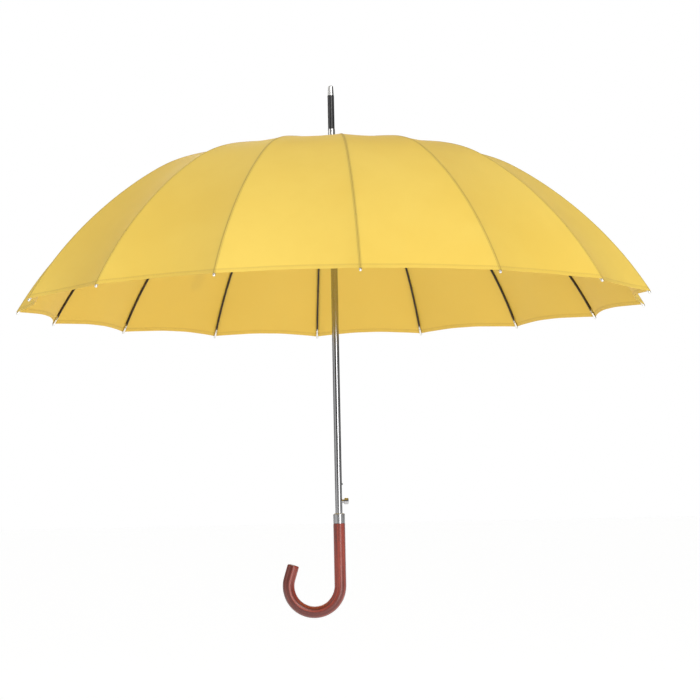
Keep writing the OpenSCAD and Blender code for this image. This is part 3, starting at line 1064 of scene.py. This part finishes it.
# %% [markdown]
# ## The strap
# A strap of the same cloth, sewn to the outside of one panel, goes round the closed umbrella and
# fastens with a press stud. It lies flat on the panel while the umbrella is open, and here it stays on
# its panel when the umbrella closes. It is cut as a strip with a rounded end, and laid on the cloth by
# the same function that shapes the cloth.

# %% The closing strap
STRAP_FROM = 0.435
STRAP_TO = 0.511
STRAP_AT = 0.88
STRAP_WIDE = 0.21
STRAP_RIB = 6
STRAP_OFF = 0.0010
STRAP_THICK = 0.0007
STRAP_EDGE = 0.0002
END_STARTS = 0.86
END_LEFT = 0.15
CUT_AT = (0.05, 0.1)
CUT_WIDE = 0.02


def on_the_cloth(along, share, lift):
    """A point this far above the cloth, on the left of a rib."""
    here = cloth_point(along, share, 1)[0]
    down_the_cloth = cloth_point(along + 0.002, share, 1)[0] - here
    over_the_cloth = cloth_point(along, share + 0.01, 1)[0] - here
    up = down_the_cloth.cross(over_the_cloth).normalized()
    return here + up * lift * (1 if up.z > 0 else -1)


def round_end(y):
    """How wide the strap is at y, from 0 where it is sewn on to 1 at its end, as a share."""
    past = max(0.0, (y - END_STARTS) / (1 - END_STARTS))
    return math.sqrt(max(0.0, 1 - past**2)) * (1 - END_LEFT) + END_LEFT


strap = plain_grid("strap", 8, 18)
cuts = []
for v in strap.data.vertices:
    x, y = v.co.x, v.co.y + 0.5
    along = STRAP_FROM + (STRAP_TO - STRAP_FROM) * y
    v.co = on_the_cloth(along, STRAP_AT + x * STRAP_WIDE * round_end(y), STRAP_OFF)
    cuts.append(((x * CUT_WIDE + CUT_AT[0], along), (0.0, CUT_AT[1])))
unrolled(strap, cuts)
modified(strap, "SOLIDIFY", thickness=STRAP_THICK, offset=-1)
modified(strap, "BEVEL", width=STRAP_EDGE, segments=2, limit_method="ANGLE")
painted(smooth(strap, 40), pongee)
strap = turned_copy(strap, "closing_strap", FIRST + (STRAP_RIB - 1) * STEP)
bpy.data.objects.remove(bpy.data.objects["strap"])
band_from, band_to, band_keep = LOWER_BANDS[1]
strap_gather = towards_rib(band_from, band_to, 1)
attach(strap, numbered("rib_outer", STRAP_RIB))
gathered(strap)

# %% The press stud
STUD_R = 0.0052
STUD_HIGH = 0.0013
STUD_ALONG = 0.500
STUD_EDGE = 0.0003

fresh()
bpy.ops.mesh.primitive_cylinder_add(vertices=32, radius=STUD_R, depth=STUD_HIGH,
                                    location=(0, 0, STUD_HIGH / 2))
stud = settled(named(bpy.context.object, "stud"))
pick(stud, faces=lambda f: f.normal.z > 0.9)
bpy.ops.mesh.inset(thickness=STUD_R * 0.22)
bpy.ops.mesh.inset(thickness=STUD_R * 0.10, depth=-STUD_HIGH * 0.3)
bpy.ops.mesh.inset(thickness=STUD_R * 0.30, depth=STUD_HIGH * 0.5)
bpy.ops.object.mode_set(mode="OBJECT")
modified(stud, "BEVEL", width=STUD_EDGE, segments=2, limit_method="ANGLE")
stud_at = on_the_cloth(STUD_ALONG, STRAP_AT, STRAP_OFF)
stud_up = (on_the_cloth(STUD_ALONG, STRAP_AT, STRAP_OFF + 0.001) - stud_at).normalized()
stud_turn = stud_up.to_track_quat("Z", "Y").to_matrix().to_4x4()
stud.matrix_world = Matrix.Translation(stud_at) @ stud_turn
settled(stud)
painted(smooth(stud, 40), nickel)
stud = turned_copy(stud, "press_stud", FIRST + (STRAP_RIB - 1) * STEP)
bpy.data.objects.remove(bpy.data.objects["stud"])
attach(stud, numbered("rib_outer", STRAP_RIB))
gathered(stud)
